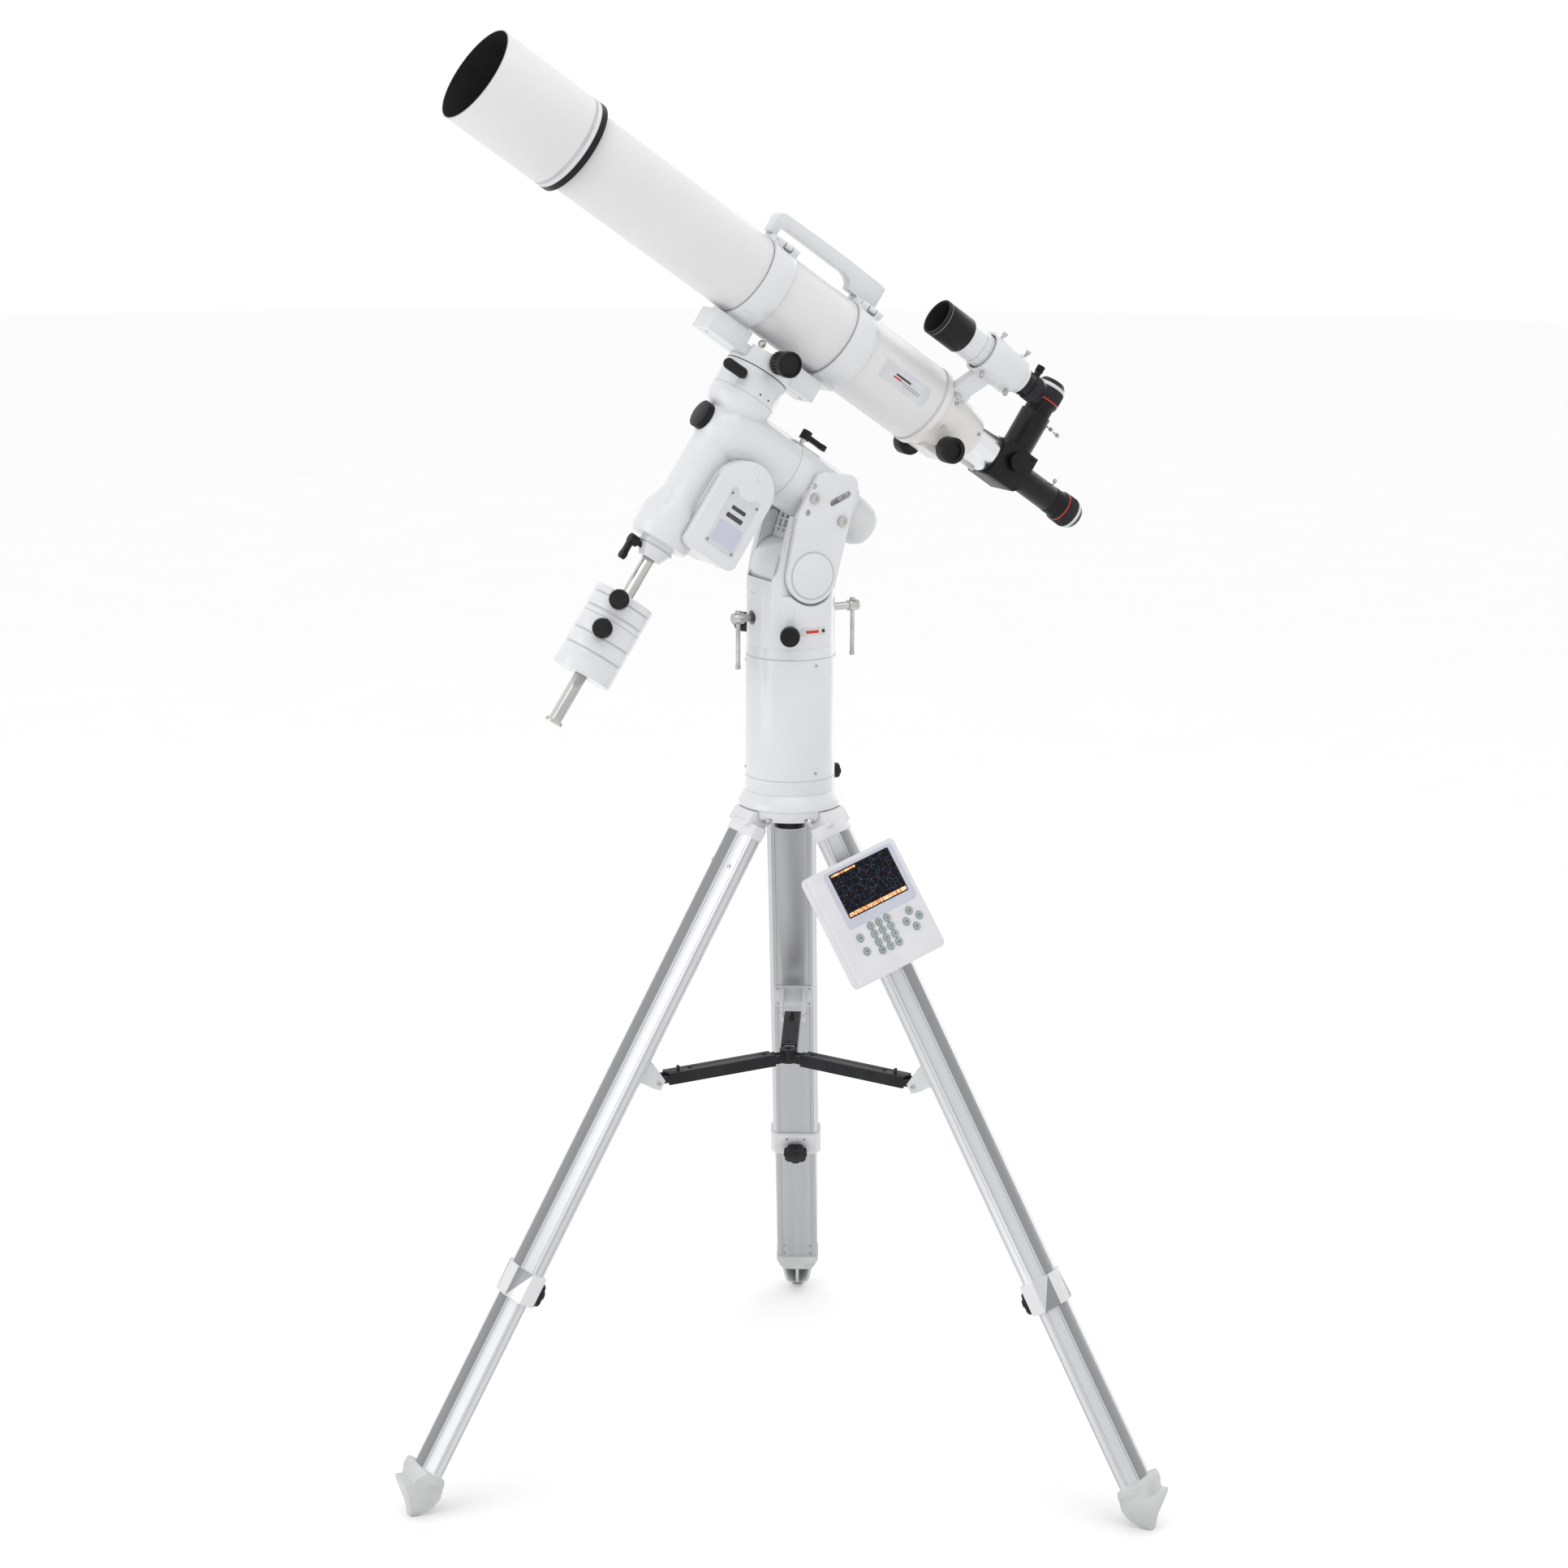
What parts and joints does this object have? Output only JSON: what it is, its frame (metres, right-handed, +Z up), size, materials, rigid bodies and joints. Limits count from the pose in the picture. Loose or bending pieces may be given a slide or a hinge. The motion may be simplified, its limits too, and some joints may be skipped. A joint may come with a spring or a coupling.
{
  "type": "telescope on tripod",
  "caption": "Refracting telescope on a motorised German equatorial mount, with half pillar, folding tripod, finder, flip mirror and hand controller.",
  "frame": {"origin": "floor level, at the middle of the footprint's box; the pillar's axis is 71.5 mm south of it", "axes": "+Z up, -X north, where the tube looks, +Y east"},
  "size_m": [1.1783, 1.1664, 2.1882],
  "materials": {
    "painted_white": "gloss white enamel on cast metal",
    "painted_tube": "gloss white enamel on tube",
    "leg_aluminium": "satin anodised extrusion",
    "steel": "turned steel",
    "black_metal": "satin black",
    "black_plastic": "moulded black",
    "grey_plastic": "moulded light grey",
    "silver_tube": "clear anodised",
    "lens_glass": "coated",
    "mirror_glass": "first-surface aluminised",
    "controller_plastic": "moulded, very light grey",
    "screen_glass": "display window",
    "key_rubber": "translucent silicone"
  },
  "bodies": {
    "tripod": {"tripod_head": "painted_white", "leg_hinge_bolts": "steel", "pillar": "painted_white"},
    "pillar_lock_knob": {"pillar_lock_knob": "black_plastic"},
    "centre_bolt": {"centre_bolt": "black_plastic"},
    "leg_1": {"leg_1_upper": "leg_aluminium"},
    "leg_2": {"leg_2_upper": "leg_aluminium"},
    "leg_3": {"leg_3_upper": "leg_aluminium"},
    "leg_1_lower": {"leg_1_lower": "leg_aluminium"},
    "leg_2_lower": {"leg_2_lower": "leg_aluminium"},
    "leg_3_lower": {"leg_3_lower": "leg_aluminium"},
    "leg_1_knob": {"leg_1_knob": "black_plastic"},
    "leg_2_knob": {"leg_2_knob": "black_plastic"},
    "leg_3_knob": {"leg_3_knob": "black_plastic"},
    "brace_hub": {"brace_hub": "black_plastic"},
    "brace_arm_1": {"brace_arm_1": "black_plastic"},
    "brace_arm_2": {"brace_arm_2": "black_plastic"},
    "brace_arm_3": {"brace_arm_3": "black_plastic"},
    "mount_base": {"mount_base": "painted_white"},
    "azimuth_knob_near": {"azimuth_knob_near": "black_plastic"},
    "azimuth_knob_far": {"azimuth_knob_far": "black_plastic"},
    "altitude_screw_north": {"altitude_screw_north": "steel"},
    "altitude_screw_south": {"altitude_screw_south": "steel"},
    "polar_housing": {"polar_housing": "painted_white", "side_plates": "painted_white", "side_plate_fasteners": "painted_white", "polar_rear_cap": "grey_plastic"},
    "ra_body": {"ra_body": "painted_white", "motor_cover": "painted_white", "polar_front_cap": "black_metal"},
    "ra_clamp_lever": {"ra_clamp_lever": "black_plastic"},
    "dec_clamp_lever": {"dec_clamp_lever": "black_plastic"},
    "bar_clamp_lever": {"bar_clamp_lever": "black_plastic"},
    "counterweight_bar": {"counterweight_bar": "steel"},
    "weight_upper": {"weight_upper": "painted_white"},
    "weight_lower": {"weight_lower": "painted_white"},
    "weight_upper_knob": {"weight_upper_knob": "black_plastic"},
    "weight_lower_knob": {"weight_lower_knob": "black_plastic"},
    "dec_head": {"dec_head": "painted_white"},
    "saddle_knob": {"saddle_knob": "black_plastic"},
    "tube_saddle": {"slide_bar": "painted_white", "tube_rings": "painted_white"},
    "optical_tube": {"main_tube": "painted_tube", "objective_cell": "black_metal", "objective_lens": "lens_glass", "focuser_body": "painted_tube", "finder_bracket": "painted_tube", "finder_scope": "painted_tube"},
    "ring_lids": {"ring_lids": "painted_white", "carry_handle": "painted_white"},
    "dew_shield": {"dew_shield": "painted_tube"},
    "drawtube": {"drawtube": "silver_tube", "flip_mirror_box": "black_metal", "eyepieces": "black_metal"},
    "focus_knobs": {"focus_knobs": "black_metal"},
    "flip_mirror": {"flip_mirror": "mirror_glass"},
    "controller": {"controller_case": "controller_plastic", "controller_screen": "screen_glass"},
    "number_keys": {"number_keys": "key_rubber"},
    "navigation_keys": {"navigation_keys": "key_rubber"}
  },
  "joints": [
    {"name": "leg_1_fold", "type": "hinge", "parent": "tripod", "child": "leg_1", "pos_m": [0.1015, 0.05196, 1.024], "axis": [-0.866, 0.5, 0], "range_deg": [0, 28]},
    {"name": "leg_1_extend", "type": "slide", "parent": "leg_1", "child": "leg_1_lower", "axis": [0.25, 0.433, -0.866], "range_m": [-0.26, 0.27]},
    {"name": "leg_1_clamp", "type": "hinge", "parent": "leg_1", "child": "leg_1_knob", "pos_m": [0.29755, 0.39153, 0.32546], "axis": [-0.433, -0.75, -0.5], "continuous": true},
    {"name": "leg_2_fold", "type": "hinge", "parent": "tripod", "child": "leg_2", "pos_m": [0.0115, 0, 1.024], "axis": [0, -1, 0], "range_deg": [0, 28]},
    {"name": "leg_2_extend", "type": "slide", "parent": "leg_2", "child": "leg_2_lower", "axis": [-0.5, 0, -0.866], "range_m": [-0.26, 0.27]},
    {"name": "leg_2_clamp", "type": "hinge", "parent": "leg_2", "child": "leg_2_knob", "pos_m": [-0.3806, 0, 0.32546], "axis": [0.866, 0, -0.5], "continuous": true},
    {"name": "leg_3_fold", "type": "hinge", "parent": "tripod", "child": "leg_3", "pos_m": [0.1015, -0.05196, 1.024], "axis": [0.866, 0.5, 0], "range_deg": [0, 28]},
    {"name": "leg_3_extend", "type": "slide", "parent": "leg_3", "child": "leg_3_lower", "axis": [0.25, -0.433, -0.866], "range_m": [-0.26, 0.27]},
    {"name": "leg_3_clamp", "type": "hinge", "parent": "leg_3", "child": "leg_3_knob", "pos_m": [0.29755, -0.39153, 0.32546], "axis": [-0.433, 0.75, -0.5], "continuous": true},
    {"name": "brace_hub_rise", "type": "slide", "parent": "tripod", "child": "brace_hub", "axis": [0, 0, 1], "range_m": [0, 0.1757]},
    {"name": "brace_arm_1_swing", "type": "hinge", "parent": "brace_hub", "child": "brace_arm_1", "pos_m": [0.082, 0.01819, 0.631], "axis": [-0.866, 0.5, 0], "range_deg": [0, 86.9]},
    {"name": "brace_arm_2_swing", "type": "hinge", "parent": "brace_hub", "child": "brace_arm_2", "pos_m": [0.0505, 0, 0.631], "axis": [0, -1, 0], "range_deg": [0, 86.9]},
    {"name": "brace_arm_3_swing", "type": "hinge", "parent": "brace_hub", "child": "brace_arm_3", "pos_m": [0.082, -0.01819, 0.631], "axis": [0.866, 0.5, 0], "range_deg": [0, 86.9]},
    {"name": "pillar_lock", "type": "hinge", "parent": "tripod", "child": "pillar_lock_knob", "pos_m": [0.13914, 0.00951, 1.078], "axis": [0.9903, 0.1392, 0], "continuous": true},
    {"name": "centre_bolt_turn", "type": "hinge", "parent": "tripod", "child": "centre_bolt", "pos_m": [0.0715, 0, 1.001], "axis": [0, 0, 1], "continuous": true},
    {"name": "azimuth", "type": "hinge", "parent": "tripod", "child": "mount_base", "pos_m": [0.0715, 0, 1.288], "axis": [0, 0, 1], "range_deg": [-7, 7]},
    {"name": "azimuth_knob_near_turn", "type": "hinge", "parent": "mount_base", "child": "azimuth_knob_near", "pos_m": [0.03368, -0.06822, 1.311], "axis": [-0.4848, -0.8746, 0], "continuous": true},
    {"name": "azimuth_knob_far_turn", "type": "hinge", "parent": "mount_base", "child": "azimuth_knob_far", "pos_m": [0.03368, 0.06822, 1.311], "axis": [-0.4848, 0.8746, 0], "continuous": true},
    {"name": "altitude_screw_north_turn", "type": "hinge", "parent": "mount_base", "child": "altitude_screw_north", "pos_m": [-0.0185, 0, 1.331], "axis": [-1, 0, 0], "range_deg": [-75, 75]},
    {"name": "altitude_screw_south_turn", "type": "hinge", "parent": "mount_base", "child": "altitude_screw_south", "pos_m": [0.1785, 0, 1.337], "axis": [1, 0, 0], "range_deg": [-75, 75]},
    {"name": "altitude", "type": "hinge", "parent": "mount_base", "child": "polar_housing", "pos_m": [0.0745, 0, 1.398], "axis": [0, 1, 0], "range_deg": [-6, 6]},
    {"name": "right_ascension", "type": "hinge", "parent": "polar_housing", "child": "ra_body", "pos_m": [-0.043, 0, 1.6157], "axis": [-0.829, 0, 0.5592], "range_deg": [-95, 95]},
    {"name": "ra_clamp", "type": "hinge", "parent": "polar_housing", "child": "ra_clamp_lever", "pos_m": [0.08693, 0, 1.58837], "axis": [0.5592, 0, 0.829], "range_deg": [-40, 40]},
    {"name": "dec_clamp", "type": "hinge", "parent": "ra_body", "child": "dec_clamp_lever", "pos_m": [-0.02877, -0.03657, 1.69778], "axis": [-0.5654, -0.7314, 0.3814], "range_deg": [-35, 35]},
    {"name": "bar_clamp", "type": "hinge", "parent": "ra_body", "child": "bar_clamp_lever", "pos_m": [-0.18586, 0, 1.45755], "axis": [-0.829, 0, 0.5592], "range_deg": [-30, 30]},
    {"name": "bar_retract", "type": "slide", "parent": "ra_body", "child": "counterweight_bar", "axis": [0.5592, 0, 0.829], "range_m": [0, 0.02]},
    {"name": "weight_upper_slide", "type": "slide", "parent": "counterweight_bar", "child": "weight_upper", "axis": [0.5592, 0, 0.829], "range_m": [0, 0.015]},
    {"name": "weight_lower_slide", "type": "slide", "parent": "counterweight_bar", "child": "weight_lower", "axis": [0.5592, 0, 0.829], "range_m": [-0.07, 0]},
    {"name": "weight_upper_clamp", "type": "hinge", "parent": "weight_upper", "child": "weight_upper_knob", "pos_m": [-0.21188, 0, 1.36533], "axis": [-0.4515, -0.8387, 0.3046], "continuous": true},
    {"name": "weight_lower_clamp", "type": "hinge", "parent": "weight_lower", "child": "weight_lower_knob", "pos_m": [-0.239, 0, 1.32512], "axis": [-0.4515, -0.8387, 0.3046], "continuous": true},
    {"name": "declination", "type": "hinge", "parent": "ra_body", "child": "dec_head", "pos_m": [-0.043, 0, 1.6157], "axis": [0.5592, 0, 0.829], "continuous": true},
    {"name": "saddle_clamp", "type": "hinge", "parent": "dec_head", "child": "saddle_knob", "pos_m": [0.01995, -0.057, 1.71618], "axis": [0, -1, 0], "continuous": true},
    {"name": "tube_balance", "type": "slide", "parent": "dec_head", "child": "tube_saddle", "axis": [-0.829, 0, 0.5592], "range_m": [-0.04, 0.04]},
    {"name": "tube_rotation", "type": "hinge", "parent": "tube_saddle", "child": "optical_tube", "pos_m": [0.07331, 0, 1.78814], "axis": [-0.829, 0, 0.5592], "range_deg": [-90, 90]},
    {"name": "ring_lids_open", "type": "hinge", "parent": "tube_saddle", "child": "ring_lids", "pos_m": [0.10818, -0.036, 1.83983], "axis": [0.829, 0, -0.5592], "range_deg": [0, 65]},
    {"name": "dew_shield_slide", "type": "slide", "parent": "optical_tube", "child": "dew_shield", "axis": [-0.829, 0, 0.5592], "range_m": [-0.135, 0]},
    {"name": "focus", "type": "slide", "parent": "optical_tube", "child": "drawtube", "axis": [-0.829, 0, 0.5592], "range_m": [-0.045, 0.033]},
    {"name": "focus_knobs_turn", "type": "hinge", "parent": "optical_tube", "child": "focus_knobs", "pos_m": [0.31012, 0, 1.57413], "axis": [0, 1, 0], "range_deg": [-215, 290]},
    {"name": "flip_mirror_turn", "type": "hinge", "parent": "drawtube", "child": "flip_mirror", "pos_m": [0.44948, 0, 1.54647], "axis": [0, -1, 0], "range_deg": [0, 45]},
    {"name": "controller_lift", "type": "slide", "parent": "leg_3", "child": "controller", "axis": [-0.284, 0.4308, 0.8566], "range_m": [0, 0.03]},
    {"name": "number_keys_press", "type": "slide", "parent": "controller", "child": "number_keys", "axis": [0, 0.8934, -0.4493], "range_m": [0, 0.0008], "stiffness_N_per_m": 900},
    {"name": "navigation_keys_press", "type": "slide", "parent": "controller", "child": "navigation_keys", "axis": [0, 0.8934, -0.4493], "range_m": [0, 0.0008], "stiffness_N_per_m": 900}
  ],
  "couplings": [
    {"joint": "leg_2_fold", "follows": "leg_1_fold", "ratio": 1},
    {"joint": "leg_3_fold", "follows": "leg_1_fold", "ratio": 1},
    {"joint": "brace_hub_rise", "follows": "leg_1_fold", "m_per_rad": 0.35953},
    {"joint": "brace_arm_1_swing", "follows": "leg_1_fold", "ratio": 3.1036},
    {"joint": "brace_arm_2_swing", "follows": "leg_1_fold", "ratio": 3.1036},
    {"joint": "brace_arm_3_swing", "follows": "leg_1_fold", "ratio": 3.1036},
    {"joint": "focus_knobs_turn", "follows": "focus", "rad_per_m": -111}
  ]
}
